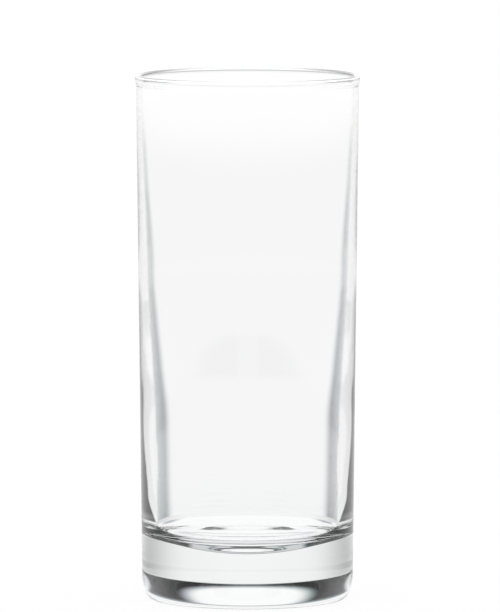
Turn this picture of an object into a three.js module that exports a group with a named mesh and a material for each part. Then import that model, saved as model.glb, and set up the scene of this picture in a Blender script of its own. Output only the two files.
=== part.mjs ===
// A straight-sided highball tumbler in clear glass, one piece from lip to foot.
// Its wall is thin at the rim and thickens all the way down into a heavy solid
// base, the well ends in a shallow dish, and the lip is fire polished into a bead.
// Millimetres, +Z up. The origin is on the axis, in the plane the glass stands on.

import * as THREE from 'three';

// The outside: a plain cone that narrows a little towards the foot
const height = 145;
const rimRadius = 30.75; // the outer wall's line, carried up to the top of the lip
const footRadius = 29.1; // the same line, carried down to the table

// How thick the glass is, square to the axis from the outer line, from the lip down
const wallAtLip = 1.3;
const wallUpper = 1.65;
const wallAboveMiddle = 2.3;
const wallMiddle = 2.5;
const wallBelowMiddle = 3.4;
const wallLower = 4;
const wallAboveFloor = 4.15;

// The heights of those walls, as shares of the glass's height
const upperShare = 0.83;
const aboveMiddleShare = 0.67;
const middleShare = 0.58;
const belowMiddleShare = 0.44;
const lowerShare = 0.345;
const aboveFloorShare = 0.22;

// The lip: the polishing flame draws the edge into a bead that stands proud
const beadProud = 0.27;
const beadNeckDrop = 3.4; // from the top of the lip down to where the bead begins
const lipDrop = 1.5; // from the top of the lip down to its widest ring

// The well's floor is a shallow dish, and a wide, low corner joins it to the wall
const floorHeight = 13.4; // the solid glass under the middle of the dish
const dishRise = 1.6; // how much higher the dish's edge lies than its middle
const floorCornerWidth = 13.7;
const floorCornerHeight = 6.8;
const cornerFullnessShare = 0.775; // how far the curve's handles reach into the corner

// The foot: a flat ring to stand on, a rounded heel outside it and a shallow recess inside
const heelWidth = 2.6;
const heelHeight = 7.3;
const footRingWidth = 7.3;
const recessDepth = 0.7;

// How finely the round glass is cut into flat faces
const facetsAround = 96;
const recessSteps = 5;
const heelSteps = 8;
const outerWallSteps = 3;
const neckSteps = 4;
const lipSteps = 5;
const innerWallSteps = 14;
const cornerSteps = 12;
const dishSteps = 5;

// A point of the profile: its distance from the axis and its height
const point = (radius, z) => new THREE.Vector2(radius, z);

function outerRadius(z) {
  return THREE.MathUtils.mapLinear(z, 0, height, footRadius, rimRadius);
}

// A point of the inner wall, where the glass has a given thickness
function insideAt(heightShare, wall) {
  const z = heightShare * height;
  return point(outerRadius(z) - wall, z);
}

// The foot, from the axis outwards: the heel is a quarter of an upright oval
const heelTop = point(outerRadius(heelHeight), heelHeight);
const ringOutside = heelTop.x - heelWidth;
const heel = new THREE.EllipseCurve(
  ringOutside, heelHeight, heelWidth, heelHeight, -Math.PI / 2, 0, false
);
const recessEdge = ringOutside - footRingWidth;

// The recess is a shallow dome: a circle through its crown on the axis and its edge
const domeRadius = (recessEdge ** 2 + recessDepth ** 2) / (2 * recessDepth);
const domeCentreZ = recessDepth - domeRadius;
const domeEdgeAngle = Math.atan2(-domeCentreZ, recessEdge);
const recess = new THREE.EllipseCurve(
  0, domeCentreZ, domeRadius, domeRadius, Math.PI / 2, domeEdgeAngle, true
);

// The lip: the bead swells out of the neck, and half an oval closes the top
const neckZ = height - beadNeckDrop;
const neck = point(outerRadius(neckZ), neckZ);
const widestZ = height - lipDrop;
const beadRadius = outerRadius(widestZ) + beadProud;
const lipInsideRadius = outerRadius(widestZ) - wallAtLip;
const lipCentreRadius = (beadRadius + lipInsideRadius) / 2;
const lipHalfWidth = (beadRadius - lipInsideRadius) / 2;
const swellZ = (neckZ + widestZ) / 2;
const swell = new THREE.CubicBezierCurve(
  neck, point(outerRadius(swellZ), swellZ), point(beadRadius, swellZ), point(beadRadius, widestZ)
);
const lip = new THREE.EllipseCurve(
  lipCentreRadius, widestZ, lipHalfWidth, lipDrop, 0, Math.PI, false
);

// The well: below its last measured wall the inner line runs on straight to the floor corner
const lowerInside = insideAt(lowerShare, wallLower);
const aboveFloorInside = insideAt(aboveFloorShare, wallAboveFloor);
const wallLean = (lowerInside.x - aboveFloorInside.x) / (lowerInside.y - aboveFloorInside.y);
const dishEdgeZ = floorHeight + dishRise;
const cornerTopZ = dishEdgeZ + floorCornerHeight;
const cornerTop = point(
  aboveFloorInside.x - (aboveFloorInside.y - cornerTopZ) * wallLean, cornerTopZ
);
const innerWall = new THREE.SplineCurve([
  point(lipInsideRadius, widestZ),
  insideAt(upperShare, wallUpper),
  insideAt(aboveMiddleShare, wallAboveMiddle),
  insideAt(middleShare, wallMiddle),
  insideAt(belowMiddleShare, wallBelowMiddle),
  lowerInside,
  aboveFloorInside,
  cornerTop,
]);

// The floor corner leaves the wall along its lean and meets the dish along its slope
const dishEdge = point(cornerTop.x - floorCornerWidth, dishEdgeZ);
const dishSlope = 2 * dishRise / dishEdge.x;
const wallHandle = cornerFullnessShare * floorCornerHeight;
const dishHandle = cornerFullnessShare * floorCornerWidth;
const floorCorner = new THREE.CubicBezierCurve(
  cornerTop,
  point(cornerTop.x - wallHandle * wallLean, cornerTop.y - wallHandle),
  point(dishEdge.x + dishHandle, dishEdge.y + dishHandle * dishSlope),
  dishEdge
);
const dish = new THREE.QuadraticBezierCurve(
  dishEdge, point(dishEdge.x / 2, floorHeight), point(0, floorHeight)
);

// The whole profile runs from the recess's crown, round the outside and over the lip,
// and down the well to the middle of its floor
const stretches = [
  { curve: recess, steps: recessSteps },
  { curve: heel, steps: heelSteps },
  { curve: new THREE.LineCurve(heelTop, neck), steps: outerWallSteps },
  { curve: swell, steps: neckSteps },
  { curve: lip, steps: 2 * lipSteps },
  { curve: innerWall, steps: innerWallSteps },
  { curve: floorCorner, steps: cornerSteps },
  { curve: dish, steps: dishSteps },
];

// Where two stretches meet, their shared end is kept once
const profile = [];
for (const { curve, steps } of stretches) {
  for (const next of curve.getPoints(steps)) {
    const last = profile.at(-1);
    const sharesAnEnd = last !== undefined && last.distanceTo(next) < beadProud / 100;
    if (!sharesAnEnd) profile.push(next);
  }
}
profile.at(0).x = 0;
profile.at(-1).x = 0;

const glass = new THREE.MeshStandardMaterial({
  color: 0xeef2f1,
  roughness: 0.03,
  metalness: 0,
  transparent: true,
  opacity: 0.35,
});

// The profile is turned about the axis, then stood up so that the axis is +Z
const body = new THREE.LatheGeometry(profile, facetsAround);
body.rotateX(Math.PI / 2);

const tumbler = new THREE.Mesh(body, glass);
tumbler.name = 'tumbler';

const highballTumbler = new THREE.Group();
highballTumbler.add(tumbler);

export default highballTumbler;
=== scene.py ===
# %% [markdown]
# # A highball tumbler in clear glass
# A tumbler like this is pressed or blown from one gob of glass, so it is a single
# piece with a thin wall, a heavy base and a flame-polished lip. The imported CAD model
# is loaded first: the glass made here takes its place and its main sizes. It rests
# on the plane z = 0 with its axis on Z, and all lengths are in metres.

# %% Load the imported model
import math

import bpy
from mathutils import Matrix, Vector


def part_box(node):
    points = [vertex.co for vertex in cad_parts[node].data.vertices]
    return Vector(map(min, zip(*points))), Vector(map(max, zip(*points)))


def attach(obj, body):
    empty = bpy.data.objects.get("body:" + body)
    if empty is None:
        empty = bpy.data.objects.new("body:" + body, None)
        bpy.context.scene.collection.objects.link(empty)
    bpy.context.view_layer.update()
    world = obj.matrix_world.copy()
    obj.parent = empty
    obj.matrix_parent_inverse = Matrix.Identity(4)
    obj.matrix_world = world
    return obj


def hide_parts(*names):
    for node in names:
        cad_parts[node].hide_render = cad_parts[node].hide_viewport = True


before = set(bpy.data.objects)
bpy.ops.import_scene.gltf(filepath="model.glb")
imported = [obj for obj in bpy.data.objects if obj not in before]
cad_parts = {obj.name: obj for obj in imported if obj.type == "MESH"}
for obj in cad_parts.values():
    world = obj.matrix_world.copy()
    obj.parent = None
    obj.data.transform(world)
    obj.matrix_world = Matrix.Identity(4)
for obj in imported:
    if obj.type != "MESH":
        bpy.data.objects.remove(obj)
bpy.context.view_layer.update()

MM = 0.001
top_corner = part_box("tumbler")[1]
GLASS_HEIGHT = top_corner[2]
BEAD_RADIUS = top_corner[0]
print("tumbler:", GLASS_HEIGHT, "high,", 2 * BEAD_RADIUS, "across the lip")

# %% [markdown]
# ## Half a section says it all
# A round glass can be cut from a cylinder and hollowed, or half its section can be
# drawn once and spun about the axis. Spinning is how a glass maker's drawing is read,
# and it keeps the inner and the outer wall in one closed skin, which is what
# refraction needs. The section is a list of points, each a distance from the axis and
# a height, and every stretch of it is added to the end of the one before.
#
# The glass stands on a flat ring. Inside it the underside is recessed a little, so
# that the glass doesn't rock, and outside it a rounded heel leads up to the wall. The
# recess is part of a very large circle, and the heel is a quarter of an upright oval.

# %% Draw the foot
QUARTER = math.pi / 2
RIM_RADIUS = 30.75 * MM
FOOT_RADIUS = 29.10 * MM
HEEL_WIDTH = 2.6 * MM
HEEL_HEIGHT = 7.3 * MM
HEEL_STEPS = 24
FOOT_RING_WIDTH = 7.3 * MM
RECESS_DEPTH = 0.7 * MM
RECESS_STEPS = 12


def oval(centre, half_width, half_height, start, end, steps):
    """Points along part of an oval, without its first."""
    angles = [start + (end - start) * i / steps for i in range(1, steps + 1)]
    return [
        (centre[0] + half_width * math.cos(a), centre[1] + half_height * math.sin(a))
        for a in angles
    ]


def outer_radius(z):
    """Distance of the outer wall's line from the axis at a height."""
    return FOOT_RADIUS + (RIM_RADIUS - FOOT_RADIUS) * z / GLASS_HEIGHT


ring_outside = outer_radius(HEEL_HEIGHT) - HEEL_WIDTH
ring_inside = ring_outside - FOOT_RING_WIDTH
dome_radius = (ring_inside**2 + RECESS_DEPTH**2) / (2 * RECESS_DEPTH)
dome_centre = (0.0, RECESS_DEPTH - dome_radius)
dome_end = QUARTER - math.asin(ring_inside / dome_radius)
heel_centre = (ring_outside, HEEL_HEIGHT)

section = [(0.0, RECESS_DEPTH)]
section += oval(dome_centre, dome_radius, dome_radius, QUARTER, dome_end, RECESS_STEPS)
section += [(ring_outside, 0.0)]
section += oval(heel_centre, HEEL_WIDTH, HEEL_HEIGHT, -QUARTER, 0.0, HEEL_STEPS)
print("foot ring:", 2 * ring_inside, "to", 2 * ring_outside, "across")

# %% [markdown]
# ## The outer wall and the lip
# The outer wall is a plain cone. At the top the polishing flame melts the cut edge,
# and the glass draws itself up into a bead that stands a little proud of the wall. A
# bevel would give a mechanical edge, so the bead is drawn: a short S-curve outwards,
# which is pulled by two handles, and then half an oval over the top.

# %% Draw the outer wall and the lip
BEAD_NECK_DROP = 3.4 * MM
LIP_DROP = 1.5 * MM
WALL_AT_RIM = 1.3 * MM
WALL_STEPS = 6
SWELL_STEPS = 10
LIP_STEPS = 32


def pulled_curve(points, steps):
    """Points along a curve between two ends that is pulled by handles, without its first."""
    result = []
    for i in range(1, steps + 1):
        t = i / steps
        level = list(points)
        while len(level) > 1:
            level = [
                (a[0] + (b[0] - a[0]) * t, a[1] + (b[1] - a[1]) * t)
                for a, b in zip(level, level[1:])
            ]
        result.append(level[0])
    return result


neck_z = GLASS_HEIGHT - BEAD_NECK_DROP
widest_z = GLASS_HEIGHT - LIP_DROP
swell_z = (neck_z + widest_z) / 2
neck = (outer_radius(neck_z), neck_z)
swell_handle = (outer_radius(swell_z), swell_z)
bead_handle = (BEAD_RADIUS, swell_z)
widest = (BEAD_RADIUS, widest_z)
lip_inside = outer_radius(widest_z) - WALL_AT_RIM
lip_centre = ((BEAD_RADIUS + lip_inside) / 2, widest_z)
lip_half_width = BEAD_RADIUS - lip_centre[0]

section += pulled_curve([section[-1], neck], WALL_STEPS)
section += pulled_curve([neck, swell_handle, bead_handle, widest], SWELL_STEPS)
section += oval(lip_centre, lip_half_width, LIP_DROP, 0.0, math.pi, LIP_STEPS)
print("lip:", 2 * lip_half_width, "thick")

# %% [markdown]
# ## The well
# Inside, the wall grows thicker all the way down, which is why two soft lines run
# down beside the edges of a real tumbler. The inner line passes through its measured
# thicknesses as one smooth curve, because straight stretches would show as kinks in
# those lines. Then a wide, low corner turns into the shallow dish of the floor.

# %% Draw the well
HEIGHTS_AND_WALLS = (
    (120 * MM, 1.65 * MM),
    (97 * MM, 2.3 * MM),
    (84 * MM, 2.5 * MM),
    (64 * MM, 3.35 * MM),
    (50 * MM, 4.0 * MM),
    (32 * MM, 4.15 * MM),
)
FLOOR_HEIGHT = 13.4 * MM
DISH_RISE = 1.6 * MM
FLOOR_CORNER_WIDTH = 13.7 * MM
FLOOR_CORNER_HEIGHT = 6.8 * MM
CORNER_FULLNESS = 0.775
INNER_WALL_STEPS = 8
CORNER_STEPS = 40
DISH_STEPS = 16


def curve_through(points, steps):
    """Points along a smooth curve through all the given points, without its first."""
    result = []
    for i in range(len(points) - 1):
        before = points[max(i - 1, 0)]
        here = points[i]
        there = points[i + 1]
        after = points[min(i + 2, len(points) - 1)]
        for k in range(1, steps + 1):
            t = k / steps
            result.append(tuple(
                (2 * p - 2 * q + (q - o) / 2 + (r - p) / 2) * t**3
                + (3 * q - 3 * p - (q - o) - (r - p) / 2) * t**2
                + (q - o) / 2 * t
                + p
                for o, p, q, r in zip(before, here, there, after)
            ))
    return result


inner_line = [(outer_radius(z) - wall, z) for z, wall in HEIGHTS_AND_WALLS]
upper, lower = inner_line[-2:]
wall_lean = (upper[0] - lower[0]) / (upper[1] - lower[1])
dish_edge_z = FLOOR_HEIGHT + DISH_RISE
corner_top_z = dish_edge_z + FLOOR_CORNER_HEIGHT
corner_top = (lower[0] - (lower[1] - corner_top_z) * wall_lean, corner_top_z)
dish_edge = (corner_top[0] - FLOOR_CORNER_WIDTH, dish_edge_z)
dish_slope = 2 * DISH_RISE / dish_edge[0]
drop = CORNER_FULLNESS * FLOOR_CORNER_HEIGHT
reach = CORNER_FULLNESS * FLOOR_CORNER_WIDTH
wall_handle = (corner_top[0] - drop * wall_lean, corner_top[1] - drop)
corner_handle = (dish_edge[0] + reach, dish_edge_z + reach * dish_slope)
dish_handle = (dish_edge[0] / 2, FLOOR_HEIGHT)
floor_middle = (0.0, FLOOR_HEIGHT)

section += curve_through([section[-1]] + inner_line + [corner_top], INNER_WALL_STEPS)
section += pulled_curve([corner_top, wall_handle, corner_handle, dish_edge], CORNER_STEPS)
section += pulled_curve([dish_edge, dish_handle, floor_middle], DISH_STEPS)
print("section:", len(section), "points")

# %% [markdown]
# ## Spin the section
# One point is made from a small plane, moved to the first place, and extruded step by
# step along the section. Spin then turns the line once round the axis. Both ends lie
# on the axis, so merging the doubles closes the two poles and the seam, and the
# normals are turned outwards afterwards. Smooth shading lets 256 flats pass as round.

# %% Trace and spin
SPIN_STEPS = 256
MERGE_DISTANCE = 0.001 * MM
SHARPEST_SMOOTH_EDGE = math.radians(30)

bpy.ops.object.select_all(action="DESELECT")
bpy.ops.mesh.primitive_plane_add(size=FOOT_RING_WIDTH, location=(0, 0, 0))
glass = bpy.context.object
glass.name = "tumbler_glass"
bpy.ops.object.mode_set(mode="EDIT")
bpy.ops.mesh.select_mode(type="VERT")
bpy.ops.mesh.merge(type="CENTER")
bpy.ops.transform.translate(value=(0, 0, section[0][1]))
for start, end in zip(section, section[1:]):
    step = (end[0] - start[0], 0, end[1] - start[1])
    bpy.ops.mesh.extrude_region_move(TRANSFORM_OT_translate={"value": step})
bpy.ops.mesh.select_all(action="SELECT")
bpy.ops.mesh.spin(steps=SPIN_STEPS, angle=2 * math.pi, center=(0, 0, 0), axis=(0, 0, 1))
bpy.ops.mesh.select_all(action="SELECT")
bpy.ops.mesh.remove_doubles(threshold=MERGE_DISTANCE)
bpy.ops.mesh.normals_make_consistent(inside=False)
bpy.ops.object.mode_set(mode="OBJECT")
bpy.ops.object.shade_smooth_by_angle(angle=SHARPEST_SMOOTH_EDGE)
print("glass:", len(glass.data.vertices), "points,", len(glass.data.polygons), "faces")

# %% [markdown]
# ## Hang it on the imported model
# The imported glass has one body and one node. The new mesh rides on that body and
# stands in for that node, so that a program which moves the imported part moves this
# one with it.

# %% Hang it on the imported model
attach(glass, "root")
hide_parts("tumbler")
print(glass.name, "stands in for tumbler")

# %% [markdown]
# ## Clear glass
# Soda-lime glass bends light by an index of 1.52 and lets it all through. A mix of
# transparent and glossy shaders would be quicker to render but wouldn't bend what is
# seen through the base, so one shader with full transmission is used. These two
# numbers are the same all over, and are set on the shader itself.

# %% Start the glass
GLASS_INDEX = 1.52

material = bpy.data.materials.new("clear_glass")
material.use_nodes = True
glass_tree = material.node_tree
shader = glass_tree.nodes["Principled BSDF"]
shader.inputs["IOR"].default_value = GLASS_INDEX
shader.inputs["Transmission Weight"].default_value = 1.0
glass.data.materials.append(material)
print("clear glass, index", GLASS_INDEX)

# %% [markdown]
# ## One group for each thing that happens to glass
# What changes over the surface comes from small node groups, so that each effect can
# be switched off and looked at by itself. They all start from noise on the object's
# own coordinates, which stays on the glass when it is moved, and stretched noise
# follows the way in which the glass was drawn.

# %% Helpers for groups and noise
def add_node(tree, kind, **values):
    """Add a node to a tree and set its plain properties."""
    new = tree.nodes.new(kind)
    for name, value in values.items():
        setattr(new, name, value)
    return new


def noise(tree, scale, detail, seed):
    """A smooth random value from 0 to 1 over the object, with a scale for each axis."""
    stretch = add_node(tree, "ShaderNodeMapping")
    place = add_node(tree, "ShaderNodeTexCoord").outputs["Object"]
    tree.links.new(place, stretch.inputs["Vector"])
    stretch.inputs["Scale"].default_value = scale
    stretch.inputs["Location"].default_value = (seed, seed, seed)
    texture = add_node(tree, "ShaderNodeTexNoise")
    tree.links.new(stretch.outputs[0], texture.inputs["Vector"])
    texture.inputs["Scale"].default_value = 1.0
    texture.inputs["Detail"].default_value = detail
    return texture.outputs[0]


def new_group(name, output_name, kind):
    """An empty group with one output, and the socket that its result goes into."""
    group = bpy.data.node_groups.new(name, "ShaderNodeTree")
    group.interface.new_socket(output_name, in_out="OUTPUT", socket_type=kind)
    return group, add_node(group, "NodeGroupOutput").inputs[output_name]


def place_group(group, socket):
    """Put a group into the glass and link its one output to a socket."""
    used = add_node(glass_tree, "ShaderNodeGroup", node_tree=group)
    glass_tree.links.new(used.outputs[0], socket)
    print("group:", group.name, "with", len(group.nodes), "nodes")


print("ready for groups, each placed in", material.name)

# %% [markdown]
# ## Flow waves
# Molten glass runs as it is worked, and the cold surface keeps long, shallow waves
# that only show where a line behind them wavers. Modelling them would take millions
# of faces. A bump of a hundredth of a millimetre bends the light in the same way.

# %% Flow waves
WAVES_PER_METRE = (70, 70, 22)
WAVE_DEPTH = 0.012 * MM

waves, result = new_group("flow_waves", "Height", "NodeSocketFloat")
waves.links.new(noise(waves, WAVES_PER_METRE, detail=1.0, seed=3.0), result)
bump = add_node(glass_tree, "ShaderNodeBump")
bump.inputs["Distance"].default_value = WAVE_DEPTH
place_group(waves, bump.inputs["Height"])
glass_tree.links.new(bump.outputs["Normal"], shader.inputs["Normal"])

# %% [markdown]
# ## Soft steps, mixes and places
# The rest of the finish, and later the studio, is made of soft steps: something fades
# in here and out there. Map Range nodes with a smooth curve do this. A few short
# helpers make such nodes and wire them, so that each effect reads as one sum.

# %% Helpers for sums
def feed(tree, socket, value):
    """Give a socket a number or a colour, or link another node's output to it."""
    if isinstance(value, (int, float, tuple)):
        socket.default_value = value
    else:
        tree.links.new(value, socket)


def maths(tree, operation, *values):
    """One Math node with its result."""
    new = add_node(tree, "ShaderNodeMath", operation=operation)
    for socket, value in zip(new.inputs, values):
        feed(tree, socket, value)
    return new.outputs[0]


def product(tree, *factors):
    """All the factors multiplied."""
    result = factors[0]
    for factor in factors[1:]:
        result = maths(tree, "MULTIPLY", result, factor)
    return result


def diagonal(tree, a, b):
    """The long side of a right-angled triangle with the sides a and b."""
    return maths(tree, "SQRT", maths(tree, "ADD", product(tree, a, a), product(tree, b, b)))


print("sums: maths, product and diagonal")

# %% [markdown]
# A span is the pair of values between which a step happens, and the levels are what
# it leads from and to. Levels and blends may be numbers or the results of other nodes.

# %% Helpers for steps and mixes
def fade(tree, value, span, levels=(0.0, 1.0)):
    """A soft step from one level to another while a value climbs through a span."""
    new = add_node(tree, "ShaderNodeMapRange", interpolation_type="SMOOTHSTEP")
    names = ("Value", "From Min", "From Max", "To Min", "To Max")
    for name, number in zip(names, (value, *span, *levels)):
        feed(tree, new.inputs[name], number)
    return new.outputs["Result"]


def fall(tree, value, span):
    """A soft step down from 1 to 0 while a value climbs through a span."""
    return fade(tree, value, span, (1.0, 0.0))


def blend(tree, factor, first, second):
    """Mix two numbers by a factor from 0 to 1."""
    new = add_node(tree, "ShaderNodeMapRange")
    feed(tree, new.inputs["Value"], factor)
    feed(tree, new.inputs["To Min"], first)
    feed(tree, new.inputs["To Max"], second)
    return new.outputs["Result"]


def axes(tree, source):
    """X, Y and Z of the object's own coordinates, or of a direction in the world."""
    split = add_node(tree, "ShaderNodeSeparateXYZ")
    tree.links.new(add_node(tree, "ShaderNodeTexCoord").outputs[source], split.inputs[0])
    return split.outputs["X"], split.outputs["Y"], split.outputs["Z"]


print("steps and mixes: fade, fall and blend")

# %% [markdown]
# ## Polish, smears and wear
# Fire-polished glass is almost perfectly smooth. Handling leaves faint smears a few
# centimetres wide, and the foot ring is scuffed in specks where it slides on tables.
# All three are roughness, so one group puts out one roughness instead of three
# materials that would meet at hard borders.

# %% Polish, smears and wear
FINE_POLISH = 0.004
SMEARED = 0.03
SMEARS_PER_METRE = (45, 45, 28)
SMEAR_EDGE = (0.55, 0.75)
WORN = 0.16
SPECKS_PER_METRE = (900, 900, 900)
SPECK_EDGE = (0.4, 0.6)
WEAR_INSIDE = (24.4 * MM, 24.8 * MM)
WEAR_OUTSIDE = (26.2 * MM, 26.6 * MM)
WEAR_TOP = (0.0, 0.05 * MM)

polish, result = new_group("polish", "Roughness", "NodeSocketFloat")
smears = noise(polish, SMEARS_PER_METRE, detail=3.0, seed=11.0)
specks = noise(polish, SPECKS_PER_METRE, detail=2.0, seed=5.0)
x, y, z = axes(polish, "Object")
from_axis = diagonal(polish, x, y)
worn = product(
    polish,
    fade(polish, from_axis, WEAR_INSIDE),
    fall(polish, from_axis, WEAR_OUTSIDE),
    fall(polish, z, WEAR_TOP),
    fade(polish, specks, SPECK_EDGE),
)
handled = fade(polish, smears, SMEAR_EDGE, (FINE_POLISH, SMEARED))
polish.links.new(blend(polish, worn, handled, WORN), result)
place_group(polish, shader.inputs["Roughness"])

# %% [markdown]
# ## The cast of thick glass
# A trace of iron tints the glass, too faint to see through the thin wall and just
# visible through the solid base. A true absorbing volume would be slow and noisy, so
# the skin itself takes a slight, slightly drifting cast over the base, which fades
# out up the lower wall.

# %% Cast
WHITE = (1, 1, 1, 1)
IRON_CAST = (0.972, 0.992, 0.990, 1)
DRIFT_PER_METRE = (25, 25, 12)
DRIFT_SPAN = (0.2, 0.8)
DRIFT_LEVELS = (0.7, 1.0)
CAST_ENDS = (12 * MM, 34 * MM)


def blend_colours(tree, factor, first, second):
    """Mix two colours by a factor from 0 to 1."""
    new = add_node(tree, "ShaderNodeMix", data_type="RGBA")
    for name, value in (("Factor_Float", factor), ("A_Color", first), ("B_Color", second)):
        socket = next(s for s in new.inputs if s.identifier == name)
        feed(tree, socket, value)
    return next(s for s in new.outputs if s.identifier == "Result_Color")


cast, result = new_group("iron_cast", "Color", "NodeSocketColor")
z = axes(cast, "Object")[2]
drift_noise = noise(cast, DRIFT_PER_METRE, detail=2.0, seed=21.0)
drift = fade(cast, drift_noise, DRIFT_SPAN, DRIFT_LEVELS)
tinted = product(cast, fall(cast, z, CAST_ENDS), drift)
cast.links.new(blend_colours(cast, tinted, WHITE, IRON_CAST), result)
place_group(cast, shader.inputs["Base Color"])

# %% [markdown]
# ## Light that comes out at the lip
# Light that enters the base is trapped between the two skins and runs up inside the
# wall like a light guide, until it leaves at the rounded lip. A renderer stops
# following such a ray after a few bounces and paints it black, so the top of the lip
# gives back a part of that lost light.

# %% Lip light
LIP_LIGHT = 0.55
LIT_FROM = (GLASS_HEIGHT - 0.75 * MM, GLASS_HEIGHT - 0.40 * MM)
UNEVEN_PER_METRE = (60, 60, 60)
UNEVEN_SPAN = (0.2, 0.8)
UNEVEN_LEVELS = (0.8, 1.0)

lip, result = new_group("lip_light", "Color", "NodeSocketColor")
z = axes(lip, "Object")[2]
uneven_noise = noise(lip, UNEVEN_PER_METRE, detail=1.0, seed=8.0)
uneven = fade(lip, uneven_noise, UNEVEN_SPAN, UNEVEN_LEVELS)
lip.links.new(product(lip, fade(lip, z, LIT_FROM), uneven), result)
place_group(lip, shader.inputs["Emission Color"])
shader.inputs["Emission Strength"].default_value = LIP_LIGHT
print("glass material:", len(glass_tree.nodes), "nodes")

# %% [markdown]
# ## How a studio draws glass
# Clear glass on white is drawn by what stands round it. A photographer puts dark
# cards just out of the picture, and the glass bends them into its outline. Lamps and
# real cards would light the floor too, so here the cards are parts of the world, which
# only rays that the glass has bent or mirrored can see. A ray's own history tells it
# apart: through one body of glass its transmission depth is 2, and through the near
# and the far wall it is 4.

# %% Which rays see the cards
ENTERED = (0.0, 2.0)
THROUGH_BOTH = (2.0, 4.0)


def crossings(tree):
    """Masks for rays through one body of glass, through both walls, and mirrored ones."""
    path = add_node(tree, "ShaderNodeLightPath")
    passed = path.outputs["Transmission Depth"]
    both_walls = fade(tree, passed, THROUGH_BOTH)
    one_body = maths(tree, "SUBTRACT", fade(tree, passed, ENTERED), both_walls)
    mirrored = maths(tree, "MINIMUM", path.outputs["Glossy Depth"], 1.0)
    return one_body, both_walls, mirrored


def in_the_glass(tree):
    """1 for rays that the glass has bent or mirrored, else 0."""
    path = add_node(tree, "ShaderNodeLightPath")
    bent = path.outputs["Is Transmission Ray"]
    return maths(tree, "MAXIMUM", path.outputs["Is Glossy Ray"], bent)


print("transmission depth through both walls:", THROUGH_BOTH[1])

# %% [markdown]
# ## Start the world
# A card's place in the world is a turn and a tilt, both in degrees: how far round from
# straight behind the glass, and how far above or below the horizon. The turn runs up
# to 45 and back again, so the cards repeat every quarter turn, and the glass looks
# the same from the front, the side and the back.

# %% Start the world
DEGREES = 180 / math.pi
TURN_REPEAT = 45.0


def bearing(tree, x, y):
    """How far round from +Y, in degrees, negative on the -X side."""
    return maths(tree, "MULTIPLY", maths(tree, "ARCTAN2", x, y), DEGREES)


world = bpy.data.worlds.new("studio")
bpy.context.scene.world = world
world.use_nodes = True
sky = world.node_tree
sky.nodes.clear()
x, y, z = axes(sky, "Generated")
compass = bearing(sky, x, y)
turn = maths(sky, "PINGPONG", compass, TURN_REPEAT)
tilt = product(sky, maths(sky, "ARCSINE", z), DEGREES)
one_body, both_walls, mirrored = crossings(sky)
print("world:", world.name)

# %% [markdown]
# ## The table top
# Rays that pass through both walls go on a few degrees downwards and see the table,
# which is white, with a slightly greyer strip some way off.

# %% Table top
TABLE_EDGE = (-6.5, -4.0)
TABLE_LEVELS = (0.915, 1.0)
NEAR_TABLE = (-14.0, -9.0)

table = fade(sky, tilt, TABLE_EDGE, TABLE_LEVELS)
table = blend(sky, fall(sky, tilt, NEAR_TABLE), table, 1.0)
print("table top:", TABLE_LEVELS[0], "to", TABLE_LEVELS[1])

# %% [markdown]
# ## The wall lines
# Near its sides the thick lower wall bends rays further round, and there a narrow
# dark card gives the soft line inside each edge. The card is wider at its foot. A
# line painted on the wall would stay put when the glass turns; this one moves with
# the view, as it does in real glass.

# %% Wall lines
LINE_NEAR_SIDE = (10.5, 16.5)
LINE_FOOT = (-8.3, -7.3)
LINE_FAR_SIDE = (34.0, 27.0)
LINE_DARKNESS = (0.76, 0.6)
LINE_SOFTNESS = (0.0, 5.0)
LINE_TOP = (-6.4, -4.6)
LINE_BOTTOM = (-17.0, -15.0)

far_side = fade(sky, tilt, LINE_FOOT, LINE_FAR_SIDE)
past_far_side = maths(sky, "SUBTRACT", turn, far_side)
wall_line = product(
    sky,
    fade(sky, turn, LINE_NEAR_SIDE),
    fall(sky, past_far_side, LINE_SOFTNESS),
    fade(sky, tilt, LINE_FOOT, LINE_DARKNESS),
    fall(sky, tilt, LINE_TOP),
    fade(sky, tilt, LINE_BOTTOM),
)
print("wall lines:", LINE_NEAR_SIDE[0], "to", LINE_FAR_SIDE[0], "degrees round")

# %% [markdown]
# ## The ends of the near lip
# The near half of the lip stands in front of the far wall, so its rays pass both, and
# its two ends are darker than its middle. A second, smaller card lower down does this.
# Both cards are kept from rays that were mirrored on the way, or they would show again
# as ghosts.

# %% Lip ends
LIP_END_NEAR_SIDE = (5.0, 9.0)
LIP_END_DARKNESS = (0.0, 0.6)
LIP_END_FAR_SIDE = (14.0, 19.0)
LIP_END_TOP = (-18.0, -16.0)
LIP_END_BOTTOM = (-27.0, -23.0)


def without(tree, mask):
    """The rest of a mask: 1 where it is 0, and 0 where it is 1."""
    return maths(tree, "SUBTRACT", 1.0, mask)


lip_end = product(
    sky,
    fade(sky, turn, LIP_END_NEAR_SIDE, LIP_END_DARKNESS),
    fall(sky, turn, LIP_END_FAR_SIDE),
    fall(sky, tilt, LIP_END_TOP),
    fade(sky, tilt, LIP_END_BOTTOM),
)
darkest = maths(sky, "MAXIMUM", wall_line, lip_end)
marks = product(sky, darkest, both_walls, without(sky, mirrored))
table = product(sky, table, without(sky, marks))
print("lip ends:", LIP_END_DARKNESS[1], "dark")

# %% [markdown]
# ## Below the table's edge
# Rays that stay in one body of glass, such as the corner between wall and floor, are
# thrown steeply down. A dark card there makes the streak in the corner, and the pale
# parts on either side of it give the bright facets beside the streak.

# %% Under the corner
NEARLY_BLACK = 0.03
SHALLOW_SIDE = (9.0, 15.0)
SHALLOW_LEVELS = (0.6, NEARLY_BLACK)
STEEP_SIDE = (21.0, 26.0)
STEEP_LEVELS = (0.64, NEARLY_BLACK)
STEEP_TO_SHALLOW = (-18.5, -16.5)
UNDERNEATH = (-37.0, -34.0)
UNDERNEATH_LEVEL = 0.8
CORNER_CARD_TOP = (-14.8, -14.2)

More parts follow.
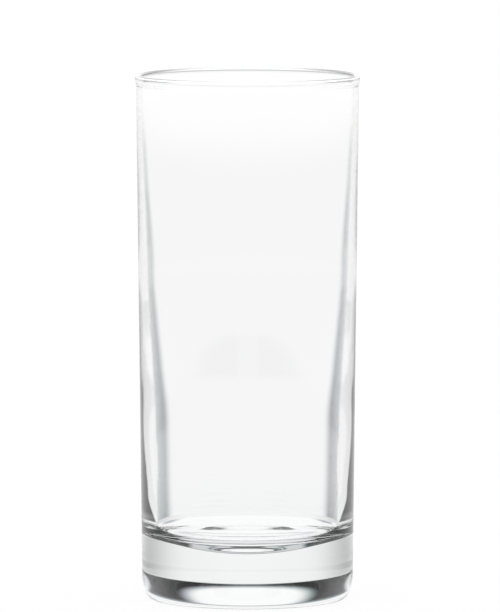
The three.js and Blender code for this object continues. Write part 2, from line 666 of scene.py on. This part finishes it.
shallow = fade(sky, turn, SHALLOW_SIDE, SHALLOW_LEVELS)
steep = fade(sky, turn, STEEP_SIDE, STEEP_LEVELS)
deep = blend(sky, fade(sky, tilt, STEEP_TO_SHALLOW), steep, shallow)
deep = blend(sky, fall(sky, tilt, UNDERNEATH), deep, UNDERNEATH_LEVEL)
under = product(sky, fall(sky, tilt, CORNER_CARD_TOP), one_body)
table = blend(sky, under, table, deep)
print("corner card: from", CORNER_CARD_TOP[1], "degrees down")

# %% [markdown]
# ## The card behind the base
# The solid base works as a thick lens and turns the room upside down. A dark card
# just above the horizon becomes the dark band at its foot, and a round opening in
# the card becomes the bright oval in the middle of that band. The distance from the
# opening's middle is measured in its own half width and half height, and the card
# starts where that distance is about 1.

# %% Card with an opening
OPENING_HALF_WIDTH = 26.6
OPENING_TILT = 7.0
OPENING_HALF_HEIGHT = 3.8
OPENING_EDGE = (0.74, 1.26)
CARD_GLOW_SIDE = (4.0, 12.0)
CARD_GLOW_LEVELS = (0.14, 0.0)

sideways = maths(sky, "DIVIDE", turn, OPENING_HALF_WIDTH)
above_middle = maths(sky, "SUBTRACT", tilt, OPENING_TILT)
upwards = maths(sky, "DIVIDE", above_middle, OPENING_HALF_HEIGHT)
opening = fall(sky, diagonal(sky, sideways, upwards), OPENING_EDGE)
card_glow = fade(sky, turn, CARD_GLOW_SIDE, CARD_GLOW_LEVELS)
card = maths(sky, "MAXIMUM", opening, card_glow)
print("opening:", 2 * OPENING_HALF_WIDTH, "by", 2 * OPENING_HALF_HEIGHT, "degrees")

# %% [markdown]
# ## The ceiling
# Above the card is the ceiling. An evenly white one would leave the base flat, so it
# has a few grey steps, each a span of tilt and the level above it, and a dark beam
# across the room's corners, which gives the base a few dark accents.

# %% Ceiling
CEILING_EDGE = (10.8, 12.6)
CEILING_LEVELS = (0.36, 1.0)
CEILING_STEPS = (((33.0, 39.0), 0.78), ((48.0, 56.0), 0.6), ((60.0, 65.0), 0.93))
BEAM_BOTTOM = (22.5, 24.0)
BEAM_TOP = (28.5, 30.0)
BEAM_SIDE = (35.0, 37.0)
CARD_TOP = (8.9, 9.9)
HORIZON = (0.57, 1.24)

ceiling = fade(sky, tilt, CEILING_EDGE, CEILING_LEVELS)
for span, level_above in CEILING_STEPS:
    ceiling = blend(sky, fade(sky, tilt, span), ceiling, level_above)
beam = product(
    sky, fade(sky, tilt, BEAM_BOTTOM), fall(sky, tilt, BEAM_TOP), fade(sky, turn, BEAM_SIDE)
)
ceiling = blend(sky, beam, ceiling, NEARLY_BLACK)
card = blend(sky, fade(sky, tilt, CARD_TOP), card, ceiling)
over = product(sky, fade(sky, tilt, HORIZON), one_body)
seen = blend(sky, over, table, card)
print("ceiling: above", CEILING_EDGE[0], "degrees, in", len(CEILING_STEPS), "steps")

# %% [markdown]
# ## Finish the world
# Every other ray meets plain white of strength 1, so the lighting is even and the
# background is white. Dark parts take a slight cast, greener on one side and bluer on
# the other, as grey cards in a real room do. Strength carries the light and dark, and
# the colour carries only the cast.

# %% Finish the world
GREENISH = (0.80, 0.97, 0.98, 1)
BLUISH = (0.88, 0.93, 1.05, 1)
SIDE_TO_SIDE = (-30.0, 30.0)
DARK_TO_WHITE = (0.0, 0.95)

level = blend(sky, in_the_glass(sky), 1.0, seen)
dark_cast = blend_colours(sky, fade(sky, compass, SIDE_TO_SIDE), GREENISH, BLUISH)
cast_colour = blend_colours(sky, fade(sky, level, DARK_TO_WHITE), dark_cast, WHITE)
background = add_node(sky, "ShaderNodeBackground")
sky.links.new(cast_colour, background.inputs["Color"])
sky.links.new(level, background.inputs["Strength"])
output = add_node(sky, "ShaderNodeOutputWorld")
sky.links.new(background.outputs[0], output.inputs["Surface"])
print("world:", len(sky.nodes), "nodes")

# %% [markdown]
# ## The floor
# The glass stands on white paper a hair below its foot. A paper lit to full white
# would need strong lamps, which would flood the glass, so most of its white is a glow
# of its own and the rest still takes the shadow. Rays inside the glass pass through
# it, because what they should see is in the world.

# %% Floor
FLOOR_SIZE = 8.0
FLOOR_DROP = 0.2 * MM

bpy.ops.object.select_all(action="DESELECT")
bpy.ops.mesh.primitive_plane_add(size=FLOOR_SIZE, location=(0, 0, -FLOOR_DROP))
floor = bpy.context.object
floor.name = "floor"
print("floor:", FLOOR_SIZE, "wide")

# %% [markdown]
# The paper is matt, with no shine at all. A second shader lets the glass's own rays
# through, and the ray's kind chooses between the two.

# %% Paper
PAPER_COLOUR = (0.1, 0.1, 0.1, 1)
PAPER_GLOW = 0.91

paper = bpy.data.materials.new("paper")
paper.use_nodes = True
tree = paper.node_tree
paper_shader = tree.nodes["Principled BSDF"]
paper_shader.inputs["Base Color"].default_value = PAPER_COLOUR
paper_shader.inputs["Roughness"].default_value = 1.0
paper_shader.inputs["Specular IOR Level"].default_value = 0.0
paper_shader.inputs["Emission Color"].default_value = WHITE
paper_shader.inputs["Emission Strength"].default_value = PAPER_GLOW
nothing = add_node(tree, "ShaderNodeBsdfTransparent")
choice = add_node(tree, "ShaderNodeMixShader")
tree.links.new(in_the_glass(tree), choice.inputs[0])
tree.links.new(paper_shader.outputs[0], choice.inputs[1])
tree.links.new(nothing.outputs[0], choice.inputs[2])
tree.links.new(choice.outputs[0], tree.nodes["Material Output"].inputs["Surface"])
floor.data.materials.append(paper)
print("paper:", len(tree.nodes), "nodes")

# %% [markdown]
# ## Cards close to the glass
# The world is infinitely far away, so it can't tell a ray that leaves low down from
# one that leaves at the lip. Cards that stand close to the glass can. Each is an open
# cylinder round it, seen by the glass alone, and its material says where it covers.

# %% Helpers for rings
RING_FLATS = 180


def stage_ring(name, radius, bottom, top):
    """Stand an open cylinder round the glass that only bent and mirrored rays see."""
    bpy.ops.object.select_all(action="DESELECT")
    bpy.ops.mesh.primitive_cylinder_add(
        vertices=RING_FLATS, radius=radius, depth=top - bottom, end_fill_type="NOTHING",
        location=(0, 0, (top + bottom) / 2),
    )
    ring = bpy.context.object
    ring.name = name
    bpy.ops.object.transform_apply(location=True, rotation=False, scale=False)
    ring.visible_camera = False
    ring.visible_diffuse = False
    ring.visible_shadow = False
    ring_material = bpy.data.materials.new(name)
    ring_material.use_nodes = True
    ring_material.node_tree.nodes.clear()
    ring.data.materials.append(ring_material)
    print(name, "is", 2 * radius, "across")
    return ring_material.node_tree


def finish_ring(tree, strength, cover):
    """Light of some strength where the ring covers, and nothing elsewhere."""
    lit = add_node(tree, "ShaderNodeEmission")
    feed(tree, lit.inputs["Strength"], strength)
    clear = add_node(tree, "ShaderNodeBsdfTransparent")
    choice = add_node(tree, "ShaderNodeMixShader")
    feed(tree, choice.inputs[0], cover)
    tree.links.new(clear.outputs[0], choice.inputs[1])
    tree.links.new(lit.outputs[0], choice.inputs[2])
    output = add_node(tree, "ShaderNodeOutputMaterial")
    tree.links.new(choice.outputs[0], output.inputs["Surface"])


print("each ring has", RING_FLATS, "flats")

# %% [markdown]
# ## A pale collar for the base
# The solid base shows a pale band above the dark one, darker towards its two ends. A
# low white collar that turns grey sideways gives both.

# %% Pale collar
COLLAR_RADIUS = 110 * MM
COLLAR_BOTTOM = (-7.0 * MM, -5.0 * MM)
COLLAR_TOP = (4.5 * MM, 5.7 * MM)
COLLAR_HEIGHT = 6.0 * MM
COLLAR_SIDE = (12.0, 45.0)
COLLAR_LEVELS = (0.92, 0.5)

tree = stage_ring("pale_collar", COLLAR_RADIUS, COLLAR_BOTTOM[0], COLLAR_HEIGHT)
x, y, z = axes(tree, "Object")
turn = maths(tree, "PINGPONG", bearing(tree, x, y), TURN_REPEAT)
cover = product(tree, fall(tree, z, COLLAR_TOP), fade(tree, z, COLLAR_BOTTOM))
finish_ring(tree, fade(tree, turn, COLLAR_SIDE, COLLAR_LEVELS), cover)

# %% [markdown]
# ## A dark card for the edges
# The outline of the lower wall is dark, and the dark widens into the corner. Those
# rays enter the wall, bounce once off its inner skin and leave, so one body of glass
# and one mirroring pick them out. The card stands behind the glass and grows wider
# downwards. A strip of it below the table takes the rays that leave the corner
# steeply, and its top stays white, for rays that leave the floor of the well.

# %% The dark part of the edge card
CARD_RADIUS = 108 * MM
FLARE_HEIGHTS = (6 * MM, 16 * MM)
FLARE = (22.0, 0.0)
TAPER_HEIGHTS = (16 * MM, 38 * MM)
TAPER = (42.0, 25.0)
SIDE_SOFTNESS = (-3.0, 3.0)
DARK_BOTTOM = (6.3 * MM, 8.3 * MM)
DARK_TOP = (35 * MM, 40 * MM)
STRIP_BOTTOM = (-20 * MM, -16 * MM)
STRIP_TOP = (-3 * MM, -1 * MM)
STRIP_SIDE = (50.0, 60.0)
WHITE_BOTTOM = (22 * MM, 24 * MM)
WHITE_TOP = (40 * MM, 44 * MM)

tree = stage_ring("edge_card", CARD_RADIUS, STRIP_BOTTOM[0], WHITE_TOP[1])
x, y, z = axes(tree, "Object")
side = maths(tree, "ABSOLUTE", bearing(tree, x, y))
flare = fade(tree, z, FLARE_HEIGHTS, FLARE)
half_width = maths(tree, "ADD", flare, fade(tree, z, TAPER_HEIGHTS, TAPER))
past_side = maths(tree, "SUBTRACT", side, half_width)
above = product(
    tree,
    fall(tree, past_side, SIDE_SOFTNESS),
    fall(tree, z, DARK_TOP),
    fade(tree, z, DARK_BOTTOM),
)
strip = product(
    tree,
    fade(tree, z, STRIP_BOTTOM),
    fall(tree, z, STRIP_TOP),
    fall(tree, side, STRIP_SIDE),
)
print("dark card:", 2 * (TAPER[0] + FLARE[0]), "to", 2 * TAPER[1], "degrees wide")

# %% [markdown]
# Both dark parts are kept to mirrored rays, the white top is for all the rays that
# left one body of glass, and the card is clear everywhere else.

# %% The white part, and the whole card
WHITE_CARD = 0.91
DARK_CARD = 0.05

one_body, _, mirrored = crossings(tree)
dark = product(tree, maths(tree, "MAXIMUM", above, strip), mirrored)
white = product(tree, fade(tree, z, WHITE_BOTTOM), fall(tree, z, WHITE_TOP))
cover = product(tree, maths(tree, "MAXIMUM", dark, white), one_body)
finish_ring(tree, blend(tree, dark, WHITE_CARD, DARK_CARD), cover)
print("edge card:", len(tree.nodes), "nodes")

# %% [markdown]
# ## The dark under the foot
# Little light comes back from the crack between foot and paper. The paper is clear to
# the glass's own rays, so a narrow dark ring hangs below the foot in its place.

# %% Foot card
FOOT_CARD_RADIUS = 31 * MM
FOOT_CARD_BOTTOM = (-11.5 * MM, -10.5 * MM)
FOOT_CARD_TOP = -0.25 * MM
FOOT_DARK = 0.01

tree = stage_ring("foot_card", FOOT_CARD_RADIUS, FOOT_CARD_BOTTOM[0], FOOT_CARD_TOP)
z = axes(tree, "Object")[2]
one_body = crossings(tree)[0]
finish_ring(tree, FOOT_DARK, product(tree, one_body, fade(tree, z, FOOT_CARD_BOTTOM)))

# %% [markdown]
# ## White behind the lip
# Rays that leave the lip upwards would meet the dark card in the world. A tall white
# collar further out hides it from them and from no others.

# %% Lip collar
LIP_COLLAR_RADIUS = 300 * MM
LIP_COLLAR_BOTTOM = 112 * MM
LIP_COLLAR_TOP = 400 * MM

tree = stage_ring("lip_collar", LIP_COLLAR_RADIUS, LIP_COLLAR_BOTTOM, LIP_COLLAR_TOP)
finish_ring(tree, strength=1.0, cover=1.0)

# %% [markdown]
# ## The camera
# The two ovals of the lip tell how far down the camera looks, and how much wider the
# near one is tells how far away it stands. Its lens then follows from the size of the
# glass in the picture, which is 500 by 612 pixels. Blender fits the sensor's width to
# the longer side of a picture, here its height.

# %% Camera
CAMERA_DISTANCE = 2.339
CAMERA_ELEVATION = math.radians(5.423)
CAMERA_TARGET_Z = 80.93 * MM
PIXELS_PER_METRE = 3622.2
PICTURE_HEIGHT = 612
SENSOR_SIZE = 36
PIXELS_ASIDE = 2.5

camera_data = bpy.data.cameras.new("camera")
camera = bpy.data.objects.new("camera", camera_data)
bpy.context.collection.objects.link(camera)
camera.location = (
    PIXELS_ASIDE / PIXELS_PER_METRE,
    -CAMERA_DISTANCE * math.cos(CAMERA_ELEVATION),
    CAMERA_TARGET_Z + CAMERA_DISTANCE * math.sin(CAMERA_ELEVATION),
)
camera.rotation_euler = (QUARTER - CAMERA_ELEVATION, 0, 0)
camera_data.sensor_width = SENSOR_SIZE
camera_data.lens = SENSOR_SIZE * PIXELS_PER_METRE * CAMERA_DISTANCE / PICTURE_HEIGHT
bpy.context.scene.camera = camera
bpy.context.scene.view_settings.view_transform = "Standard"
print("lens:", camera_data.lens, "mm")
